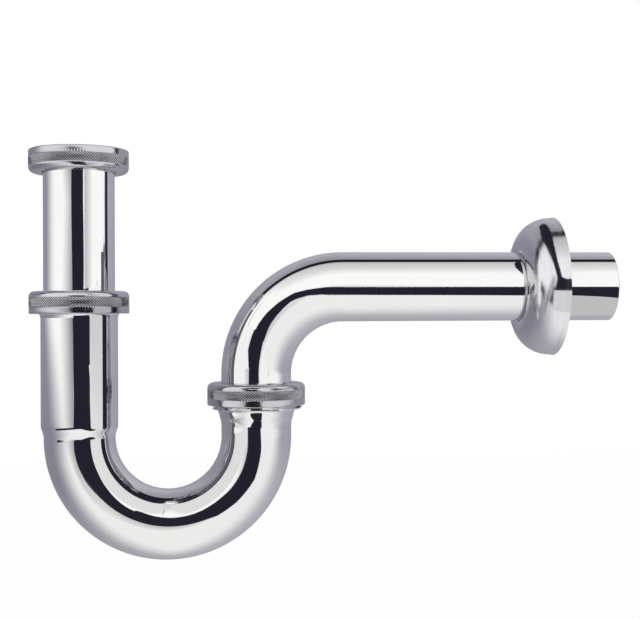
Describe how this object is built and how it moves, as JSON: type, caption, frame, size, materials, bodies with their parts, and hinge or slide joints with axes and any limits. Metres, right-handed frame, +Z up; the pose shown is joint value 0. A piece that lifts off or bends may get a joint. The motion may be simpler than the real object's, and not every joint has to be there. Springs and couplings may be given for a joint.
{
  "type": "tubular trap",
  "caption": "Chromed brass P-trap for a basin: U bend between knurled union nuts, height-adjustable inlet tube, swivelling wall tube and sliding deep wall rosette.",
  "frame": {"origin": "centre of the inlet washer's upper face, on the inlet axis, where the basin waste lands", "axes": "+X along the wall tube towards the wall, +Z up along the inlet tube"},
  "size_m": [0.269, 0.0646, 0.1859],
  "materials": {
    "bright_chrome": "mirror plated",
    "satin_chrome": "turned and plated, satin",
    "black_rubber": "moulded, matte",
    "natural_polyethylene": "moulded, waxy"
  },
  "bodies": {
    "inlet": {"inlet_tube": "bright_chrome", "inlet_washer": "black_rubber"},
    "inlet_nut": {"inlet_nut": "satin_chrome"},
    "adjusting_seal": {"adjusting_cone_seal": "black_rubber"},
    "trap": {"trap_bend": "bright_chrome", "inlet_leg_ferrule": "bright_chrome", "outlet_leg_ferrule": "bright_chrome"},
    "adjusting_ring": {"adjusting_slip_ring": "natural_polyethylene"},
    "adjusting_nut": {"adjusting_nut": "satin_chrome"},
    "outlet_ring": {"outlet_slip_ring": "natural_polyethylene"},
    "outlet_nut": {"outlet_nut": "satin_chrome"},
    "outlet_seal": {"outlet_cone_seal": "black_rubber"},
    "outlet": {"outlet_bend": "bright_chrome"},
    "rosette": {"wall_rosette": "satin_chrome"}
  },
  "joints": [
    {"name": "inlet_nut_turn", "type": "hinge", "parent": "inlet", "child": "inlet_nut", "pos_m": [0, 0, 0], "axis": [0, 0, 1], "continuous": true},
    {"name": "height_slide", "type": "slide", "parent": "inlet", "child": "adjusting_seal", "axis": [0, 0, 1], "range_m": [-0.022, 0.02]},
    {"name": "inlet_swivel", "type": "hinge", "parent": "adjusting_seal", "child": "trap", "pos_m": [0, 0, -0.0626], "axis": [0, 0, 1], "continuous": true},
    {"name": "adjusting_ring_lift", "type": "slide", "parent": "trap", "child": "adjusting_ring", "axis": [0, 0, 1], "range_m": [0, 0.00656]},
    {"name": "adjusting_nut_turn", "type": "hinge", "parent": "adjusting_ring", "child": "adjusting_nut", "pos_m": [0, 0, -0.064], "axis": [0, 0, 1], "range_deg": [0, 1020]},
    {"name": "outlet_ring_lift", "type": "slide", "parent": "trap", "child": "outlet_ring", "axis": [0, 0, 1], "range_m": [0, 0.00463]},
    {"name": "outlet_nut_turn", "type": "hinge", "parent": "outlet_ring", "child": "outlet_nut", "pos_m": [0.08, 0, -0.106], "axis": [0, 0, 1], "range_deg": [0, 720]},
    {"name": "outlet_swivel", "type": "hinge", "parent": "trap", "child": "outlet_seal", "pos_m": [0.08, 0, -0.1064], "axis": [0, 0, 1], "range_deg": [-135, 135]},
    {"name": "outlet_lift", "type": "slide", "parent": "outlet_seal", "child": "outlet", "axis": [0, 0, 1], "range_m": [0, 0.006]},
    {"name": "rosette_slide", "type": "slide", "parent": "outlet", "child": "rosette", "axis": [1, 0, 0], "range_m": [-0.08, 0.024]}
  ],
  "couplings": [
    {"joint": "adjusting_ring_lift", "follows": "adjusting_nut_turn", "m_per_rad": 0.00036749},
    {"joint": "outlet_ring_lift", "follows": "outlet_nut_turn", "m_per_rad": 0.00036749}
  ]
}
